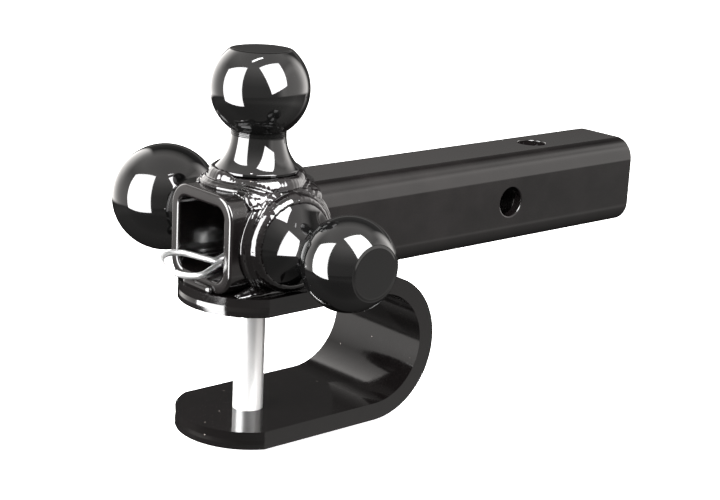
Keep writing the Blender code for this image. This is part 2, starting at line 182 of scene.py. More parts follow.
# %% Front of the tent
sides = add_node(sky, "ShaderNodeValToRGB", links={"Fac": measures["right"]},
                 stops=[(0.0, 0.34), (0.05, 0.26), (0.125, 0.12), (0.2, 0.04), (0.8, 0.04),
                        (0.86, 0.2), (0.92, 0.5), (0.96, 0.42), (1.0, 0.42)])
roof = add_node(sky, "ShaderNodeValToRGB", links={"Fac": measures["up"]},
                stops=[(0.0, 0.08), (0.6, 0.09), (0.75, 0.17), (0.9, 0.33), (1.0, 0.3)])
ahead = add_node(sky, "ShaderNodeMath", {"operation": "MAXIMUM"},
                 links={0: sides.outputs["Color"], 1: roof.outputs["Color"]})
turning = add_node(sky, "ShaderNodeValToRGB", links={"Fac": measures["front"]},
                   stops=[(0.0, 0.0), (0.24, 0.0), (0.44, 1.0), (1.0, 1.0)])
room = add_node(sky, "ShaderNodeMixRGB", links={0: turning.outputs["Color"], 1: behind.outputs[0],
                                                2: ahead.outputs[0]})

# %% [markdown]
# The table is brightest at its far edge and towards the right. Three ramps are multiplied for that.
# It replaces the room below the level of its edge, which falls a little to the right.

# %% Table
TABLE_TILT = -0.06
table_run = add_node(sky, "ShaderNodeValToRGB", links={"Fac": measures["front"]},
                     stops=[(0.0, 0.01), (0.1, 0.03), (0.25, 0.1), (0.45, 0.2), (0.6, 0.16), (1.0, 0.1)])
table_fall = add_node(sky, "ShaderNodeValToRGB", links={"Fac": measures["up"]},
                      stops=[(0.0, 0.5), (0.25, 0.6), (0.31, 1.05), (0.345, 0.8), (0.385, 0.62)])
table_side = add_node(sky, "ShaderNodeMapRange", values={"To Min": 0.3, "To Max": 1.0},
                      links={"Value": measures["right"]})
table_lit = add_node(sky, "ShaderNodeMath", {"operation": "MULTIPLY"},
                     links={0: table_run.outputs["Color"], 1: table_fall.outputs["Color"]})
table = add_node(sky, "ShaderNodeMath", {"operation": "MULTIPLY"},
                 links={0: table_lit.outputs[0], 1: table_side.outputs["Result"]})
table_edge = add_node(sky, "ShaderNodeMath", {"operation": "MULTIPLY_ADD"}, {1: TABLE_TILT},
                      {0: measures["right"], 2: measures["up"]})
above = add_node(sky, "ShaderNodeValToRGB", links={"Fac": table_edge.outputs[0]},
                 stops=[(0.0, 0.0), (0.352, 0.0), (0.372, 1.0), (1.0, 1.0)])
tent = add_node(sky, "ShaderNodeMixRGB",
                links={0: above.outputs["Color"], 1: table.outputs[0], 2: room.outputs[0]})

# %% [markdown]
# The cloth of the tent is a warm white, which the picture's greys show. Light Path tells the camera's
# own rays from all others, so the camera sees a plain white backdrop and the object sees the tent.

# %% Light of the tent
TENT_STRENGTH = 4.4
WARM_WHITE = (1.0, 0.97, 0.945, 1.0)
warm_tent = add_node(sky, "ShaderNodeMixRGB", {"blend_type": "MULTIPLY"},
                     {0: 1.0, 2: WARM_WHITE}, {1: tent.outputs[0]})
seen = add_node(sky, "ShaderNodeBackground", values={"Strength": TENT_STRENGTH},
                links={"Color": warm_tent.outputs[0]})
white = add_node(sky, "ShaderNodeBackground", values={"Color": (1, 1, 1, 1), "Strength": 1.0})
ray = add_node(sky, "ShaderNodeLightPath")
mixed = add_node(sky, "ShaderNodeMixShader",
                 links={0: ray.outputs["Is Camera Ray"], 1: seen.outputs[0], 2: white.outputs[0]})
add_node(sky, "ShaderNodeOutputWorld", links={"Surface": mixed.outputs[0]})
print("The tent has", len(sky.nodes), "nodes")

# %% [markdown]
# Two softboxes stand close by, one upright on the left and one tilted on the right. Each ball
# mirrors them from another place, and that fixes how far away they are. The function takes where a
# lamp stands, where it faces and how it is rolled, and works out its power from the radiance that
# its face should have.


# %% Softboxes
def add_softbox(name, centre, facing, upward, width, depth, radiance, spread=180.0):
    """Add an area light, its face turned to a direction and its upper edge towards another."""
    data = bpy.data.lights.new(name, "AREA")
    data.shape = "RECTANGLE"
    data.size = width * MM
    data.size_y = depth * MM
    data.energy = radiance * math.pi * data.size * data.size_y
    data.spread = math.radians(spread)
    lamp = bpy.data.objects.new(name, data)
    bpy.context.scene.collection.objects.link(lamp)
    out = -Vector(facing).normalized()
    across = Vector(upward).cross(out).normalized()
    along = out.cross(across)
    place = Matrix.Translation(Vector(centre) * MM)
    lamp.matrix_world = place @ Matrix((across, along, out)).transposed().to_4x4()
    lamp.visible_camera = False
    print(name, "gives", round(data.energy, 5), "watts")


add_softbox("left_softbox", centre=(-155.7, -355.4, 227.7), facing=(-0.308, 0.945, -0.11),
            upward=(-0.082, 0.089, 0.993), width=462.6, depth=567.7, radiance=25.0)
add_softbox("right_softbox", centre=(176.7, 52.6, 288.4), facing=(-0.769, 0.428, -0.475),
            upward=(-0.582, -0.161, 0.797), width=186.5, depth=220.1, radiance=30.0)

# %% [markdown]
# A small strip lamp hangs over the top ball and leaves a thin slanting streak on it. A honeycomb
# grid narrows its beam, so the other two balls don't show it.

# %% Strip lamp
STRIP_REACH = 105.0
STRIP_SLANT = math.radians(30)
top_ball_middle = Vector((0, 35.1, 179.5))
to_strip = -0.05 * camera_right + 0.809 * camera_up + 0.586 * to_camera
strip_run = math.cos(STRIP_SLANT) * camera_right - math.sin(STRIP_SLANT) * to_camera
add_softbox("strip_lamp", centre=top_ball_middle + STRIP_REACH * to_strip, facing=-to_strip,
            upward=to_strip.cross(strip_run), width=38, depth=6, radiance=5.0, spread=48.0)

# %% [markdown]
# The floor is a plain white board just under the lowest point of the object, the head of the pin.
# It glows, so that it stays as white as the backdrop, but neither reflections nor scattered light
# see it, because the table of the tent plays that part.

# %% Floor
FLOOR_SIZE = 4000 * MM
FLOOR_GAP = 0.2
bpy.ops.mesh.primitive_plane_add(size=FLOOR_SIZE, location=(0, 0, cad_low.z - FLOOR_GAP * MM))
floor = bpy.context.object
floor.name = "floor"
board = bpy.data.materials.new("white_board")
board.use_nodes = True
board_shader = board.node_tree.nodes["Principled BSDF"]
board_shader.inputs["Base Color"].default_value = linear("f4f4f4")
board_shader.inputs["Roughness"].default_value = 0.9
board_shader.inputs["Emission Color"].default_value = (1, 1, 1, 1)
board_shader.inputs["Emission Strength"].default_value = 1.0
floor.data.materials.append(board)
floor.visible_glossy = False
floor.visible_diffuse = False
print("Floor lies at", round(floor.location.z / MM, 1), "mm")

# %% [markdown]
# ## Finishes
#
# Five finishes cover the whole mount. The shank has a satin powder coat over rolled steel. The hook
# and the welds carry thick gloss enamel, and on the turned balls the same black lies as smooth as
# glass. The pin and its clip are zinc plated, one over turned bar and one over drawn wire. Every
# finish starts from its plain values and from object coordinates, so its grain has the same size on
# every piece.


# %% Start of a finish
def start_finish(name, colour, metallic, roughness):
    """Make a material with its plain values. Return it, its tree, shader and coordinates."""
    material = bpy.data.materials.new(name)
    material.use_nodes = True
    tree = material.node_tree
    shader = tree.nodes["Principled BSDF"]
    shader.inputs["Base Color"].default_value = linear(colour)
    shader.inputs["Metallic"].default_value = metallic
    shader.inputs["Roughness"].default_value = roughness
    place = add_node(tree, "ShaderNodeTexCoord")
    return material, tree, shader, place.outputs["Object"]


# %% [markdown]
# Satin powder coat: the powder melts to a skin with a fine orange peel, about a millimetre from
# crest to crest. The rolled steel below it is a little cloudy, so two noises, one of centimetres
# and one of millimetres, shift the black and the sheen. The peel itself is a faint bump.

# %% Powder coat
powder_coat, tree, shader, spot = start_finish("satin_black_powder_coat", "080707", 0.0, 0.13)
clouds = add_node(tree, "ShaderNodeTexNoise", values={"Scale": 45.0, "Detail": 4.0, "Roughness": 0.6},
                  links={"Vector": spot})
tone = add_node(tree, "ShaderNodeValToRGB", links={"Fac": clouds.outputs["Fac"]},
                stops=[(0.35, linear("060505")), (0.65, linear("0c0a0a"))])
tree.links.new(tone.outputs["Color"], shader.inputs["Base Color"])
sheen = add_node(tree, "ShaderNodeMapRange", values={"To Min": 0.08, "To Max": 0.18},
                 links={"Value": clouds.outputs["Fac"]})
tree.links.new(sheen.outputs["Result"], shader.inputs["Roughness"])
peel = add_node(tree, "ShaderNodeTexNoise", values={"Scale": 900.0, "Detail": 2.0},
                links={"Vector": spot})
peel_bump = add_node(tree, "ShaderNodeBump", values={"Strength": 0.15, "Distance": 0.02 * MM},
                     links={"Height": peel.outputs["Fac"]})
tree.links.new(peel_bump.outputs["Normal"], shader.inputs["Normal"])

# %% [markdown]
# Gloss enamel: sprayed wet and thick, so it pulls itself smooth, but long shallow waves of about
# six millimetres stay in it. A few small light grey specks, which a Voronoi texture scatters a
# centimetre apart, lighten the black base colour here and there.

# %% Enamel
enamel, tree, shader, spot = start_finish("gloss_black_enamel", "060505", 0.0, 0.08)
waves = add_node(tree, "ShaderNodeTexNoise", values={"Scale": 160.0, "Detail": 2.0},
                 links={"Vector": spot})
wet = add_node(tree, "ShaderNodeMapRange", values={"To Min": 0.04, "To Max": 0.15},
               links={"Value": waves.outputs["Fac"]})
tree.links.new(wet.outputs["Result"], shader.inputs["Roughness"])
# Small light grey specks in the base colour, a centimetre apart.
speck_cells = add_node(tree, "ShaderNodeTexVoronoi", values={"Scale": 90.0}, links={"Vector": spot})
speck = add_node(tree, "ShaderNodeValToRGB", links={"Fac": speck_cells.outputs["Distance"]},
                 stops=[(0.0, linear("8d8781")), (0.028, linear("4a4643")), (0.045, linear("060505"))])
tree.links.new(speck.outputs["Color"], shader.inputs["Base Color"])
wave_bump = add_node(tree, "ShaderNodeBump", values={"Strength": 0.25, "Distance": 0.1 * MM},
                     links={"Height": waves.outputs["Fac"]})
tree.links.new(wave_bump.outputs["Normal"], shader.inputs["Normal"])

# %% [markdown]
# Ball paint: the same black over steel that a lathe has turned and polished, so nothing shows
# through it. Only a slight haze, a centimetre wide, dulls the mirror here and there.

# %% Ball paint
ball_paint, tree, shader, spot = start_finish("mirror_black_ball_paint", "050505", 0.0, 0.04)
haze = add_node(tree, "ShaderNodeTexNoise", values={"Scale": 110.0, "Detail": 4.0},
                links={"Vector": spot})
polish = add_node(tree, "ShaderNodeMapRange", values={"To Min": 0.02, "To Max": 0.08},
                  links={"Value": haze.outputs["Fac"]})
tree.links.new(polish.outputs["Result"], shader.inputs["Roughness"])
flow = add_node(tree, "ShaderNodeBump", values={"Strength": 0.12, "Distance": 0.1 * MM},
                links={"Height": haze.outputs["Fac"]})
tree.links.new(flow.outputs["Normal"], shader.inputs["Normal"])

# %% [markdown]
# Bright zinc on the wire: electroplated and clear, so it is a light metal with a milky sheen. The
# milkiness comes in patches of a few millimetres, and a faint bump stands for the fine grain of the
# plating.

# %% Bright zinc
bright_zinc, tree, shader, spot = start_finish("bright_zinc_plate", "ececec", 1.0, 0.42)
spangle = add_node(tree, "ShaderNodeTexNoise", values={"Scale": 300.0, "Detail": 3.0},
                   links={"Vector": spot})
milky = add_node(tree, "ShaderNodeMapRange", values={"To Min": 0.36, "To Max": 0.5},
                 links={"Value": spangle.outputs["Fac"]})
tree.links.new(milky.outputs["Result"], shader.inputs["Roughness"])
grain = add_node(tree, "ShaderNodeBump", values={"Strength": 0.06, "Distance": 0.01 * MM},
                 links={"Height": spangle.outputs["Fac"]})
tree.links.new(grain.outputs["Normal"], shader.inputs["Normal"])

# %% [markdown]
# Turned zinc: the pin carries the same plating over the fine rings that the lathe left on it. The
# rings are too fine to see, but they spread every reflection along the pin, so the shader is made
# anisotropic, with its streak turned to run along the pin. The plating's clear film is cloudy over
# them and scatters a fifth of the light, so the finish is a little less than fully metallic. The
# rings that shift its sheen are drawn a millimetre apart, coarser than they are, to show at all.

# %% Turned zinc
turned_zinc, tree, shader, spot = start_finish("bright_zinc_plate_turned", "f2f2f2", 0.82, 0.58)
shader.inputs["Anisotropic"].default_value = 0.9
shader.inputs["Anisotropic Rotation"].default_value = 0.25
rings = add_node(tree, "ShaderNodeMapping", values={"Scale": (60.0, 60.0, 900.0)},
                 links={"Vector": spot})
scatter = add_node(tree, "ShaderNodeTexNoise", values={"Scale": 1.0, "Detail": 3.0},
                   links={"Vector": rings.outputs["Vector"]})
brushed = add_node(tree, "ShaderNodeMapRange", values={"To Min": 0.54, "To Max": 0.62},
                   links={"Value": scatter.outputs["Fac"]})
tree.links.new(brushed.outputs["Result"], shader.inputs["Roughness"])

# %% [markdown]
# ## Modelling helpers
#
# The pieces are made with the operators that the menus call. These helpers keep the steps short:
# pick an object, apply what a modifier does, select parts of a mesh by a rule, and hand a finished
# piece to the body that it moves with.


# %% Helpers for modelling
def deselect():
    """Select nothing, because an operator acts on all that is selected."""
    for item in bpy.context.selected_objects:
        item.select_set(False)


def pick(item):
    """Select one object alone and make it the active one."""
    deselect()
    item.select_set(True)
    bpy.context.view_layer.objects.active = item


def add_modifier(item, kind, **settings):
    """Add a modifier with its settings and apply it at once."""
    pick(item)
    bpy.ops.object.modifier_add(type=kind)
    modifier = item.modifiers[-1]
    for name, value in settings.items():
        setattr(modifier, name, value)
    bpy.ops.object.modifier_apply(modifier=modifier.name)


def settle(item):
    """Put the object's place into its mesh, so the object itself sits at the origin, unturned."""
    pick(item)
    bpy.ops.object.transform_apply(location=True, rotation=True, scale=True)


def select_where(item, kind, rule):
    """In edit mode, select the faces or edges for which the rule is true. Return how many."""
    bpy.ops.mesh.select_mode(type=kind)
    bpy.ops.mesh.select_all(action="DESELECT")
    shape = bmesh.from_edit_mesh(item.data)
    found = [part for part in (shape.faces if kind == "FACE" else shape.edges) if rule(part)]
    for part in found:
        part.select_set(True)
    bmesh.update_edit_mesh(item.data)
    return len(found)


def smooth_by_angle(item, degrees):
    """Shade smooth, with a sharp edge wherever two faces meet at more than an angle."""
    pick(item)
    bpy.ops.object.shade_smooth_by_angle(angle=math.radians(degrees))


def flatten_shading(item):
    """Let the big flat faces keep their own direction, so only the round edges bend the light."""
    add_modifier(item, "WEIGHTED_NORMAL", mode="FACE_AREA", weight=100, keep_sharp=True)


def hand_over(item, name, finish, body, slot, *nodes):
    """Name a finished piece, give it its finish and body, and hide the CAD nodes that it replaces."""
    settle(item)
    item.name = name
    item.data.name = name
    item.data.materials.clear()
    item.data.materials.append(finish)
    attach(item, body)
    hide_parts(*nodes)
    print(name, "has", len(item.data.polygons), "faces")


# %% [markdown]
# Most cuts in this object are round holes, so a cylinder that is used up by a Boolean is a helper
# too.


# %% Helpers for cutting
def cylinder(diameter, length, centre, axis="Z", sides=96):
    """A round bar in millimetres."""
    turns = {"X": (0, math.radians(90), 0), "Y": (math.radians(90), 0, 0), "Z": (0, 0, 0)}
    deselect()
    bpy.ops.mesh.primitive_cylinder_add(vertices=sides, radius=diameter / 2 * MM, depth=length * MM,
                                        location=Vector(centre) * MM, rotation=turns[axis])
    return bpy.context.object


def cut_with(item, tool, operation="DIFFERENCE"):
    """Cut an object with another one, which is used up."""
    add_modifier(item, "BOOLEAN", operation=operation, object=tool, solver="EXACT")
    pick(tool)
    bpy.ops.object.delete()


# %% [markdown]
# ## The shank
#
# A 2 inch square tube is rolled from strip, so its corners are round inside and out. A box with
# four bevelled edges and a wall from Solidify gives both at once. The ends are ground off after
# sawing: their edges get a wide bevel, which draws the white lines round the mouth. The hitch holes
# are drilled last, and a fine bevel breaks their edges.

# %% Shank walls
TUBE_SIDE = 50.8
TUBE_WALL = 6.35
TUBE_CORNER = 12.3
TUBE_LENGTH = 300.0
AXIS_Z = 105.7
END_ROUND = 1.5

deselect()
bpy.ops.mesh.primitive_cube_add(size=1.0, location=(0, TUBE_LENGTH / 2 * MM, AXIS_Z * MM),
                                scale=(TUBE_SIDE * MM, TUBE_LENGTH * MM, TUBE_SIDE * MM))
tube = bpy.context.object
settle(tube)
bpy.ops.object.mode_set(mode="EDIT")
select_where(tube, "EDGE", lambda edge: edge.calc_length() > TUBE_SIDE * MM * 2)
bpy.ops.mesh.bevel(offset=TUBE_CORNER * MM, offset_type="OFFSET", segments=16, profile=0.5)
select_where(tube, "FACE", lambda face: abs(face.normal.y) > 0.9)
bpy.ops.mesh.delete(type="FACE")
bpy.ops.object.mode_set(mode="OBJECT")
add_modifier(tube, "SOLIDIFY", thickness=TUBE_WALL * MM, offset=-1.0, use_even_offset=True)
bpy.ops.object.mode_set(mode="EDIT")
rims = select_where(tube, "EDGE", lambda edge: edge.calc_face_angle(0.0) > math.radians(60))
bpy.ops.mesh.bevel(offset=END_ROUND * MM, offset_type="OFFSET", segments=5, profile=0.5)
bpy.ops.object.mode_set(mode="OBJECT")
print("Rounded", rims, "edges at the two ends")

# %% Shank holes
HITCH_HOLE = 16.7
SIDE_HOLE_Y = 197.0
TOP_HOLE_Y = 237.8
PIN_Y = 33.6
PIN_HOLE = 16.7
HOLE_ROUND = 0.9

THROUGH = TUBE_SIDE * 1.5
cut_with(tube, cylinder(HITCH_HOLE, THROUGH, (0, SIDE_HOLE_Y, AXIS_Z), "X"))
cut_with(tube, cylinder(HITCH_HOLE, THROUGH, (0, TOP_HOLE_Y, AXIS_Z)))
cut_with(tube, cylinder(PIN_HOLE, TUBE_WALL * 3, (0, PIN_Y, AXIS_Z - TUBE_SIDE / 2 + TUBE_WALL / 2)))
add_modifier(tube, "BEVEL", width=HOLE_ROUND * MM, segments=3, limit_method="ANGLE",
             angle_limit=math.radians(50))
smooth_by_angle(tube, 35)
flatten_shading(tube)
hand_over(tube, "powder_coated_shank", powder_coat, "mount", "satin_black_paint", "shank_tube")

# %% [markdown]
# ## The three balls
#
# Each ball is forged with its neck and its flared foot and then turned on a lathe, so the natural
# way is to draw half of its outline and spin it. The lathe helper does that: it extrudes one vertex
# along the outline and spins it round Z.


# %% Lathe
def lathe(profile, steps):
    """Extrude one vertex along (radius, height) points in millimetres and spin it round Z."""
    deselect()
    bpy.ops.mesh.primitive_plane_add(size=MM)
    item = bpy.context.object
    bpy.ops.object.mode_set(mode="EDIT")
    bpy.ops.mesh.select_mode(type="VERT")
    bpy.ops.mesh.select_all(action="SELECT")
    bpy.ops.mesh.merge(type="CENTER")
    radius, height = profile[0]
    bpy.ops.transform.translate(value=(radius * MM, 0, height * MM))
    for before, after in zip(profile, profile[1:]):
        step = ((after[0] - before[0]) * MM, 0, (after[1] - before[1]) * MM)
        bpy.ops.mesh.extrude_vertices_move(TRANSFORM_OT_translate={"value": step})
    bpy.ops.mesh.select_all(action="SELECT")
    bpy.ops.mesh.spin(steps=steps, angle=math.tau, center=(0, 0, 0), axis=(0, 0, 1))
    bpy.ops.mesh.select_all(action="SELECT")
    bpy.ops.mesh.remove_doubles(threshold=0.002 * MM)
    bpy.ops.mesh.normals_make_consistent(inside=False)
    bpy.ops.object.mode_set(mode="OBJECT")
    return item


def arc(centre, radius, start, end, steps):
    """Points on an arc, angles in degrees."""
    angles = [math.radians(start + (end - start) * step / steps) for step in range(steps + 1)]
    return [(centre[0] + radius * math.cos(a), centre[1] + radius * math.sin(a)) for a in angles]


# %% [markdown]
# The crown of a tow ball is cut flat. Its edge keeps a small round, which is what makes it
# readable in a mirror finish. Three grooves run round the neck where the cutting tool stopped, and
# the foot ends in a thin band that stands a little proud. The outline goes down from the crown over
# the ball, the grooves and the flare to the foot, which keeps a small seat gap to the tube.

# %% Balls
BALL_Y = 35.1
RIM_RADIUS = 21.6
RIM_HEIGHT = 8.4
RIM_BAND = 1.4
RIM_PROUD = 0.15
RIM_EASE = 0.2
RIM_UNDERCUT = 0.1
FOOT_RADIUS = 15.0
NECK_LENGTH = 2.5
SEAT = 0.3
GROOVES = 3
GROOVE_DEPTH = 0.5
CROWN_ROUND = 1.4
CROWN_JOIN = 1.1
BALL_STEPS = 64
FLARE_STEPS = 30
TURN_STEPS = 128
BALLS = {
    "top": {"diameter": 50.8, "neck": 14.2, "height": 48.4, "flat": 15.6},
    "right": {"diameter": 47.625, "neck": 13.6, "height": 48.7, "flat": 13.9},
    "left": {"diameter": 58.74, "neck": 16.4, "height": 55.9, "flat": 16.5},
}


def ball_profile(diameter, neck, height, flat):
    """Half outline of a ball from its crown down to its foot, heights above the tube's face."""
    radius = diameter / 2
    flat_angle = math.degrees(math.acos(flat / radius))
    neck_angle = -math.degrees(math.acos(neck / radius))
    crown = height + radius * math.sin(math.radians(flat_angle))
    junction = height + radius * math.sin(math.radians(neck_angle))
    points = [(0, crown), (flat * 0.5, crown), (flat - CROWN_ROUND * 1.4, crown),
              (flat - CROWN_ROUND, crown), (flat - CROWN_ROUND * 0.55, crown - CROWN_ROUND * 0.05),
              (flat - CROWN_ROUND * 0.15, crown - CROWN_ROUND * 0.2)]
    points += arc((0, height), radius, flat_angle - CROWN_JOIN, neck_angle, BALL_STEPS)
    flare_top = junction - NECK_LENGTH
    pitch = NECK_LENGTH / GROOVES
    for groove in range(GROOVES):
        level = junction - groove * pitch
        points += [(neck - GROOVE_DEPTH, level - pitch * 0.3),
                   (neck - GROOVE_DEPTH, level - pitch * 0.45),
                   (neck, level - pitch * 0.75), (neck, level - pitch * 0.95)]
    drop = flare_top - RIM_HEIGHT
    spread = RIM_RADIUS - neck
    sweep = (drop * drop + spread * spread) / (2 * spread)
    end = math.degrees(math.asin(min(1.0, drop / sweep)))
    points += arc((neck + sweep, flare_top), sweep, 180, 180 + end, FLARE_STEPS)[1:]
    points += [(RIM_RADIUS + RIM_PROUD, RIM_HEIGHT - RIM_EASE),
               (RIM_RADIUS + RIM_PROUD, RIM_HEIGHT - RIM_BAND + RIM_EASE),
               (RIM_RADIUS - RIM_UNDERCUT, RIM_HEIGHT - RIM_BAND), (FOOT_RADIUS, SEAT), (0, SEAT)]
    return points


def face_turn(label):
    """Turn a ball's own Z axis onto its face of the tube."""
    centre = Matrix.Translation(Vector((0, BALL_Y, AXIS_Z)) * MM)
    up = Matrix.Translation(Vector((0, 0, TUBE_SIDE / 2)) * MM)
    lean = {"top": 0, "right": 90, "left": -90}[label]
    return centre @ Matrix.Rotation(math.radians(lean), 4, "Y") @ up


for label, sizes in BALLS.items():
    ball = lathe(ball_profile(**sizes), TURN_STEPS)
    ball.matrix_world = face_turn(label)
    settle(ball)
    smooth_by_angle(ball, 32)
    hand_over(ball, label + "_tow_ball", ball_paint, "mount", "mirror_black_paint", label + "_ball")

# %% [markdown]
# ## The hook
#
# The hook is a flat bar, bent hot into a U. A box stands for the lower leg, its back face is spun
# round the bend and then extruded forwards to make the upper leg. Both legs are a little too long
# at first, because their noses are cut to shape afterwards.

# %% Hook bar
HOOK_THICK = 9.5
HOOK_WIDTH = 70.0
HOOK_GAP = 61.0
HOOK_BEND_Y = 92.5
HOOK_NOSE = 38.2
HOOK_ROUND = 1.5
LEG_TOP = 2 * HOOK_THICK + HOOK_GAP
BEND_STEPS = 48
OVERRUN = 5.0

leg_start = PIN_Y - HOOK_NOSE - OVERRUN
leg_run = HOOK_BEND_Y - leg_start
deselect()
leg_middle = Vector((0, leg_start + leg_run / 2, HOOK_THICK / 2)) * MM
bpy.ops.mesh.primitive_cube_add(size=1.0, location=leg_middle,
                                scale=(HOOK_WIDTH * MM, leg_run * MM, HOOK_THICK * MM))
hook = bpy.context.object
settle(hook)
bpy.ops.object.mode_set(mode="EDIT")
select_where(hook, "FACE", lambda face: face.normal.y > 0.9)
bend_centre = Vector((0, HOOK_BEND_Y, HOOK_THICK + HOOK_GAP / 2)) * MM
bpy.ops.mesh.spin(steps=BEND_STEPS, angle=math.pi, center=bend_centre, axis=(-1, 0, 0))
bpy.ops.mesh.extrude_region_move(TRANSFORM_OT_translate={"value": (0, -leg_run * MM, 0)})
bpy.ops.mesh.select_all(action="SELECT")
bpy.ops.mesh.remove_doubles(threshold=0.002 * MM)
bpy.ops.mesh.normals_make_consistent(inside=False)
bpy.ops.object.mode_set(mode="OBJECT")
print("Hook spun to", [round(v / MM, 1) for v in hook.dimensions])

# %% [markdown]
# The noses are sheared in a press. The blade leaves a faint crease along the middle of the edge, so
# the light runs in two lines round it. The nose cutter is therefore a lathe shape with that crease
# at the height of each leg, and not a plain cylinder. The part where both it and the bar are is
# kept. Then the pin holes are drilled, and a bevel rounds every edge as the wet enamel does.

# %% Hook noses and holes
CREASE_DEPTH = 0.18
CREASE_FROM = 2.6
CREASE_TO = 5.3
CREASE_EASE = 0.3
NOSE_STEPS = 192
nose_line = [(0, -LEG_TOP / 2), (HOOK_NOSE, -LEG_TOP / 2)]
for leg_foot in (0, LEG_TOP - HOOK_THICK):
    nose_line += [(HOOK_NOSE, leg_foot + CREASE_FROM),
                  (HOOK_NOSE - 0.02, leg_foot + CREASE_FROM + CREASE_EASE),
                  (HOOK_NOSE - CREASE_DEPTH + 0.01, leg_foot + CREASE_TO - CREASE_EASE),
                  (HOOK_NOSE - CREASE_DEPTH, leg_foot + CREASE_TO),
                  (HOOK_NOSE, leg_foot + HOOK_THICK)]
nose_line += [(HOOK_NOSE, LEG_TOP * 1.5), (0, LEG_TOP * 1.5)]
nose = lathe(nose_line, NOSE_STEPS)
nose.location = (0, PIN_Y * MM, 0)
settle(nose)
back_run = 2 * LEG_TOP
deselect()
back_middle = Vector((0, PIN_Y + back_run / 2, LEG_TOP / 2)) * MM
bpy.ops.mesh.primitive_cube_add(size=1.0, location=back_middle,
                                scale=(HOOK_WIDTH * 1.2 * MM, back_run * MM, LEG_TOP * 2 * MM))
cut_with(nose, bpy.context.object, "UNION")
cut_with(hook, nose, "INTERSECT")
cut_with(hook, cylinder(PIN_HOLE, LEG_TOP * 1.5, (0, PIN_Y, LEG_TOP / 2)))
add_modifier(hook, "BEVEL", width=HOOK_ROUND * MM, segments=4, limit_method="ANGLE",
             angle_limit=math.radians(50))
smooth_by_angle(hook, 30)
flatten_shading(hook)
hand_over(hook, "bent_bar_hook", enamel, "mount", "gloss_black_paint", "tow_hook")

# %% [markdown]
# ## The welds
#
# A weld bead is a row of small puddles that froze one over another. It is made here in the same
# way: a flattened ball stands for one puddle, its copies are laid along the seam with a little
# disorder, Remesh melts them to one skin, and Smooth draws the skin tight. The disorder comes from
# one seed, so every run gives the same beads.


# %% Puddles
BEAD_SEED = 7
chance = random.Random(BEAD_SEED)


def melt(puddles, voxel, smoothing):
    """Lay puddles at (centre, radii, turn) in millimetres and melt them to one piece."""
    deselect()
    bpy.ops.mesh.primitive_ico_sphere_add(subdivisions=3, radius=1.0)
    drop = bpy.context.object
    joined = bmesh.new()
    for centre, radii, turned in puddles:
        before = len(joined.verts)
        joined.from_mesh(drop.data)
        joined.verts.ensure_lookup_table()
        size = Matrix.Diagonal((*(r * MM for r in radii), 1.0))
        place = Matrix.Translation(Vector(centre) * MM) @ turned.to_4x4() @ size
        bmesh.ops.transform(joined, matrix=place, verts=joined.verts[before:])
    joined.to_mesh(drop.data)
    joined.free()
    add_modifier(drop, "REMESH", mode="VOXEL", voxel_size=voxel * MM, use_smooth_shade=True)
    add_modifier(drop, "SMOOTH", factor=0.5, iterations=smoothing)
    return drop


def tube_skin(across):
    """Height of the tube's rounded face, under its flat top, at a distance from its middle."""
    past = abs(across) - (TUBE_SIDE / 2 - TUBE_CORNER)
    if past <= 0:
        return 0.0
    past = min(past, TUBE_CORNER * 0.98)
    return math.sqrt(TUBE_CORNER ** 2 - past ** 2) - TUBE_CORNER


# %% [markdown]
# Each foot is welded all round in three passes. The first is broad and hugs the rim of the foot,
# the last runs out on the tube, and where the tube's corner falls away the passes spread and grow.
# Long puddles close together make a pass that is smooth along its run, with sharp valleys between
# the passes. At the front right of the top ball the first pass missed the rim, which leaves a dark
# undercut. A pass is given by its distance out, its level, its thickness and its height, and
# `part` says how far down it lies between the first pass and the last.

# %% Weld collars
PASS_PITCH = 2.2
PASSES = ((22.8, 4.7, 2.4, 4.0), (25.8, 2.0, 1.8, 1.8), (28.0, 0.7, 1.6, 1.6))
PASS_LEAN = -0.37
PASS_WANDER = 0.3
PASS_GROWTH = 0.04
PUDDLE_REACH = 4.4
DEEPEST_FOOT = -8.0
COLLAR_VOXEL = 0.45
COLLAR_SMOOTHING = 5
UNDERCUT_MIDDLE = math.radians(-20)
UNDERCUT_REACH = math.radians(62)
UNDERCUT_DROP = 2.3


def collar_puddles(label):
    """Puddles round a foot, from the rim down to the tube's skin."""
    place = face_turn(label)
    rim_level = PASSES[0][1]
    toe_level = PASSES[-1][1]
    found = []
    for out, high, thick, tall in PASSES:
        count = round(math.tau * out / PASS_PITCH)
        phase = chance.uniform(0, math.tau)
        for index in range(count):
            angle = math.tau * (index + chance.uniform(-0.2, 0.2)) / count
            wander = out + PASS_WANDER * math.sin(3 * angle + phase)
            foot = max(tube_skin(wander * math.cos(angle)) + toe_level, DEEPEST_FOOT)
            part = (rim_level - high) / (rim_level - toe_level)
            level = rim_level + (foot - rim_level) * part
            past = abs(math.remainder(angle - UNDERCUT_MIDDLE, math.tau)) / UNDERCUT_REACH
            if label == "top" and part == 0 and past < 1:
                level -= UNDERCUT_DROP * min(1.0, 4 * (1 - past))
            size = (1 + PASS_GROWTH * (toe_level - foot)) * chance.uniform(0.96, 1.04)
            centre = Vector((wander * math.cos(angle), wander * math.sin(angle), level))
            turned = Matrix.Rotation(angle, 3, "Z") @ Matrix.Rotation(PASS_LEAN, 3, "Y")
            spin = place.to_3x3() @ turned
            radii = (thick * size, PUDDLE_REACH, tall * size)
            found.append((place @ (centre * MM) / MM, radii, spin))
    return found


for label in BALLS:
    collar = melt(collar_puddles(label), COLLAR_VOXEL, COLLAR_SMOOTHING)
    hand_over(collar, label + "_ball_weld", enamel, "mount", "gloss_black_paint",
              "weld_" + label + "_ball")

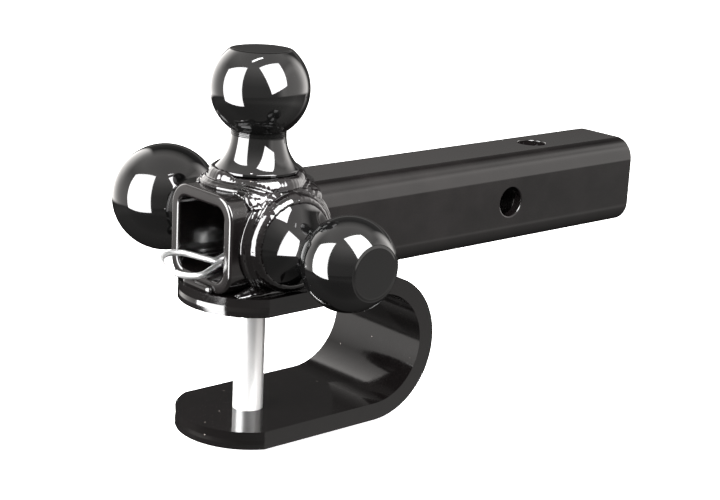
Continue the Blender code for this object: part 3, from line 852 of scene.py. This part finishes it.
# %% [markdown]
# Between two collars the rounded corner of the tube is filled. A few broad puddles melt to a smooth
# saddle there, and short rough beads lie over its ends, where the welder closed the last gaps. Two
# flat slabs at the front lean to the side, and a thin toe bead runs down from the tube's top. Their
# places are given for the right side, and the left side takes them mirrored.

# %% Corner welds
CORNER_OUT = TUBE_SIDE / 2 - TUBE_CORNER + TUBE_CORNER * math.sqrt(0.5)
CORNER_REACH = 20.0
CORNER_ROWS = 8
CORNER_FILL = 2.6
CORNER_EXTRAS = 22
BROAD_PUDDLE = (7.0, 6.0, 3.1)
BROAD_LEVEL = -0.9
SHORT_PUDDLE = (1.5, 3.0, 1.5)
SHORT_FROM = 0.45
SLAB_FACING = Vector((0.80, -0.237, 0.55))
SLABS = (((18.9, 20.5, 132.6), (9.5, 6.0)), ((21.6, 20.8, 127.2), (5.5, 5.5)))
SLAB_THICK = 1.8
SLAB_SUNK = 1.2
TOE_FROM = Vector((15.0, 9.6, 130.9))
TOE_TO = Vector((23.0, 15.1, 125.9))
TOE_PUDDLES = 7
TOE_RADIUS = 1.4
CORNER_VOXEL = 0.4
CORNER_SMOOTHING = 4


def corner_spot(side, out, slide, part):
    """A place on the corner: its height over the corner, its step across and its part along."""
    dome = out + CORNER_FILL * (1 - 0.75 * part * part)
    return Vector((side * (CORNER_OUT + dome + slide), BALL_Y + CORNER_REACH * part,
                   AXIS_Z + CORNER_OUT + dome - slide))


for label, side in (("right", 1), ("left", -1)):
    puddles = []
    across = Matrix.Rotation(side * math.radians(45), 3, "Y")
    for row in range(CORNER_ROWS):
        part = 1.8 * row / (CORNER_ROWS - 1) - 0.9
        turned = across @ Matrix.Rotation(chance.uniform(-0.15, 0.15), 3, "X")
        puddles.append((corner_spot(side, BROAD_LEVEL + chance.uniform(-0.1, 0.1), 0, part),
                        BROAD_PUDDLE, turned))
    for _ in range(CORNER_EXTRAS):
        part = chance.choice((-1, 1)) * chance.uniform(SHORT_FROM, 1.0)
        size = chance.uniform(0.8, 1.25)
        turned = across @ Matrix.Rotation(chance.uniform(-1.2, 1.2), 3, "Z")
        puddles.append((corner_spot(side, chance.uniform(0.2, 0.7), chance.uniform(-4.0, 4.0), part),
                        tuple(radius * size for radius in SHORT_PUDDLE), turned))
    mirror = Vector((side, 1, 1))
    facing = SLAB_FACING * mirror
    level = Vector((0, 0, 1)).cross(facing).normalized()
    slab_turn = Matrix((level, facing.cross(level), facing)).transposed()
    for middle, (wide, tall) in SLABS:
        sunk = Vector(middle) * mirror - facing * SLAB_SUNK
        puddles.append((sunk, (wide, tall, SLAB_THICK), slab_turn))
    for index in range(TOE_PUDDLES):
        spot = TOE_FROM.lerp(TOE_TO, index / (TOE_PUDDLES - 1)) * mirror
        puddles.append((spot, (TOE_RADIUS,) * 3, Matrix.Identity(3)))
    bead = melt(puddles, CORNER_VOXEL, CORNER_SMOOTHING)
    hand_over(bead, "corner_weld_" + label, enamel, "mount", "gloss_black_paint",
              "weld_corner_" + label)

# %% [markdown]
# The hook hangs on two long fillet welds and a short one in front. A fillet weld fills the corner
# between two pieces, so its puddles stand in that corner, in two rows, each given by its distance
# out, its level and its radius. The enamel has run over them, which makes them smoother than the
# rest, and both ends of the long welds taper off.

# %% Hook welds
HOOK_PUDDLES = 34
HOOK_WELD_FROM = 9.5
HOOK_WELD_LONG = 79.0
HOOK_ROWS = ((23.6, 2.4, 3.0), (27.2, 0.7, 2.5))
HOOK_PUDDLE_REACH = 5.4
HOOK_VOXEL = 0.5
HOOK_SMOOTHING = 12
for label, side in (("right", 1), ("left", -1)):
    puddles = []
    for index in range(HOOK_PUDDLES):
        run = HOOK_WELD_FROM + HOOK_WELD_LONG * index / (HOOK_PUDDLES - 1)
        ease = min(1.0, 0.5 + 0.14 * min(index, HOOK_PUDDLES - 1 - index))
        for out, level, size in HOOK_ROWS:
            rise = level * ease + chance.uniform(-0.12, 0.12)
            aside = TUBE_SIDE / 2 + (out - TUBE_SIDE / 2) * ease
            centre = Vector((side * aside, run, LEG_TOP + rise))
            turned = Matrix.Rotation(chance.uniform(-0.1, 0.1), 3, "Z")
            grown = size * ease * chance.uniform(0.97, 1.03)
            puddles.append((centre, (grown, HOOK_PUDDLE_REACH, grown), turned))
    bead = melt(puddles, HOOK_VOXEL, HOOK_SMOOTHING)
    hand_over(bead, "hook_weld_" + label, enamel, "mount", "gloss_black_paint", "weld_hook_" + label)

# %% [markdown]
# The front weld is a single short row under the tube's mouth, half on the tube's end and half on the
# hook.

# %% Front weld
FRONT_PUDDLES = 13
FRONT_LONG = 17
FRONT_OUT = 0.6
FRONT_LEVEL = 1.3
FRONT_RADII = (3.6, 1.9, 2.5)
FRONT_VOXEL = 0.4
puddles = []
wide, deep, tall = FRONT_RADII
for index in range(FRONT_PUDDLES):
    across = -FRONT_LONG / 2 + FRONT_LONG * index / (FRONT_PUDDLES - 1)
    centre = Vector((across, -FRONT_OUT, LEG_TOP + FRONT_LEVEL))
    puddles.append((centre, (wide, deep, tall * chance.uniform(0.98, 1.02)), Matrix.Identity(3)))
bead = melt(puddles, FRONT_VOXEL, HOOK_SMOOTHING)
hand_over(bead, "hook_weld_front", enamel, "mount", "gloss_black_paint", "weld_hook_front")

# %% [markdown]
# ## The pin
#
# The clevis pin is turned from bar, so it is a lathe job with a drilled cross hole near its top. Its
# outline goes up from the head, which hangs under the hook with a little play, to the chamfer at its
# tip. The pin stands turned by a few degrees, as the lean of its clip shows.

# %% Pin
PIN_DIAMETER = 15.875
PIN_HEAD_DIAMETER = 25.4
PIN_HEAD_THICK = 5.0
PIN_HEAD_PLAY = 3.0
PIN_CHAMFER = 1.2
CLIP_HOLE = 4.8
FLOOR_Z = AXIS_Z - TUBE_SIDE / 2 + TUBE_WALL
PIN_TOP = FLOOR_Z + 10.0
CLIP_Z = FLOOR_Z + 3.25
PIN_TURN = math.radians(-3.0)

pin_radius = PIN_DIAMETER / 2
head_radius = PIN_HEAD_DIAMETER / 2
head_top = -PIN_HEAD_PLAY
head_foot = head_top - PIN_HEAD_THICK
pin_line = [(0, head_foot), (head_radius - PIN_CHAMFER, head_foot),
            (head_radius - 0.3, head_foot + 0.5), (head_radius, head_foot + PIN_CHAMFER),
            (head_radius, head_top - 0.4), (head_radius - 0.4, head_top),
            (pin_radius + 0.6, head_top), (pin_radius, head_top + 0.6),
            (pin_radius, 10), (pin_radius, 40), (pin_radius, 80), (pin_radius, PIN_TOP - PIN_CHAMFER),
            (pin_radius - 0.3, PIN_TOP - 0.5), (pin_radius - PIN_CHAMFER, PIN_TOP), (0, PIN_TOP)]
PIN_STEPS = 96
pin = lathe(pin_line, PIN_STEPS)
pin.matrix_world = Matrix.Translation((0, PIN_Y * MM, 0))
settle(pin)
drill = cylinder(CLIP_HOLE, PIN_DIAMETER * 2, (0, PIN_Y, CLIP_Z), "Y", sides=48)
drill.rotation_euler = (math.radians(90), 0, PIN_TURN)
cut_with(pin, drill)
smooth_by_angle(pin, 30)
hand_over(pin, "clevis_pin", turned_zinc, "pin", "bright_zinc", "hook_pin")

# %% [markdown]
# ## The clip
#
# The clip is one piece of spring wire: a straight leg through the pin, a big eye for a finger, and
# a second leg that passes beside the pin. The natural way is a curve with a round bevel. Its line
# is drawn flat, as (ahead, aside) of the pin, from two straight legs that touch the eye's circle,
# and the curve is then leaned and sunk a little in its hole, as the clip hangs in the picture.


# %% Wire line
WIRE = 3.2
CLIP_RISE = math.radians(-2.5)
CLIP_TILT = math.radians(14.5)
CLIP_TAIL = 20.0
CLIP_NIP = 20.5
CLIP_NIP_GAP = 0.3
CLIP_EYE = (38.8, -3.8)
CLIP_EYE_RADIUS = 12.1
CLIP_LEG_CLEARANCE = 0.3
CLIP_SHOULDER = 1.0
CLIP_HEEL = 2.0
CLIP_SPLAY = 3.0
CLIP_BEND = 4.0
CLIP_SAG = 0.7


def touching(point, centre, radius, hand):
    """Where a line from a point touches a circle, on its left for hand +1, on its right for -1."""
    away = Vector(centre) - Vector(point)
    lean = math.asin(radius / away.length) * hand
    run = math.sqrt(away.length_squared - radius * radius)
    return Vector(point) + Matrix.Rotation(lean, 2) @ away.normalized() * run


def bent_wire(corners, radius, steps):
    """Replace each inner corner of a line by an arc."""
    line = [Vector(corners[0])]
    for before, corner, after in zip(corners, corners[1:], corners[2:]):
        corner = Vector(corner)
        back = (Vector(before) - corner).normalized()
        on = (Vector(after) - corner).normalized()
        half = back.angle(on) / 2
        middle = corner + (back + on).normalized() * (radius / math.sin(half))
        start = corner + back * (radius / math.tan(half)) - middle
        end = corner + on * (radius / math.tan(half)) - middle
        sweep = start.angle_signed(end)
        for step in range(steps + 1):
            line.append(middle + Matrix.Rotation(-sweep * step / steps, 2) @ start)
    line.append(Vector(corners[-1]))
    return line


nip_far = (CLIP_NIP, -(WIRE + CLIP_NIP_GAP))
eye_start = touching((CLIP_NIP, 0.0), CLIP_EYE, CLIP_EYE_RADIUS, 1) - Vector(CLIP_EYE)
eye_end = touching(nip_far, CLIP_EYE, CLIP_EYE_RADIUS, -1) - Vector(CLIP_EYE)
EYE_FROM = math.degrees(math.atan2(eye_start.y, eye_start.x))
EYE_TO = math.degrees(math.atan2(eye_end.y, eye_end.x))
eye = arc(CLIP_EYE, CLIP_EYE_RADIUS, EYE_FROM, EYE_TO, 72)
beside = -(PIN_DIAMETER / 2 + WIRE / 2 + CLIP_LEG_CLEARANCE)
straight_leg = bent_wire([(-CLIP_TAIL, 0.0), (CLIP_NIP, 0.0), eye[0]], CLIP_BEND, 10)
outer_leg = bent_wire([eye[-1], nip_far, (PIN_DIAMETER / 2 + CLIP_SHOULDER, beside),
                       (-PIN_DIAMETER / 2 - CLIP_HEEL, beside), (-CLIP_TAIL, beside - CLIP_SPLAY)],
                      CLIP_BEND, 10)
wire_line = straight_leg[:-1] + [Vector(point) for point in eye] + outer_leg[1:]
print("The eye turns through", round(abs(EYE_TO - EYE_FROM)), "degrees")

# %% Wire clip
wire_curve = bpy.data.curves.new("spring_clip", "CURVE")
wire_curve.dimensions = "3D"
wire_curve.bevel_depth = WIRE / 2 * MM
wire_curve.bevel_resolution = 8
wire_curve.use_fill_caps = True
spline = wire_curve.splines.new("POLY")
spline.points.add(len(wire_line) - 1)
for point, (ahead, aside) in zip(spline.points, wire_line):
    point.co = (aside * MM, -ahead * MM, 0, 1)
clip = bpy.data.objects.new("spring_clip", wire_curve)
bpy.context.scene.collection.objects.link(clip)
pick(clip)
bpy.ops.object.convert(target="MESH")
clip = bpy.context.object
add_modifier(clip, "BEVEL", width=0.3 * MM, segments=2, limit_method="ANGLE",
             angle_limit=math.radians(60))
lean = (Matrix.Rotation(PIN_TURN, 4, "Z") @ Matrix.Rotation(CLIP_RISE, 4, "X")
        @ Matrix.Rotation(CLIP_TILT, 4, "Y"))
clip.matrix_world = Matrix.Translation(Vector((0, PIN_Y, CLIP_Z - CLIP_SAG)) * MM) @ lean
smooth_by_angle(clip, 50)
hand_over(clip, "spring_clip", bright_zinc, "clip", "bright_zinc", "pull_clip")
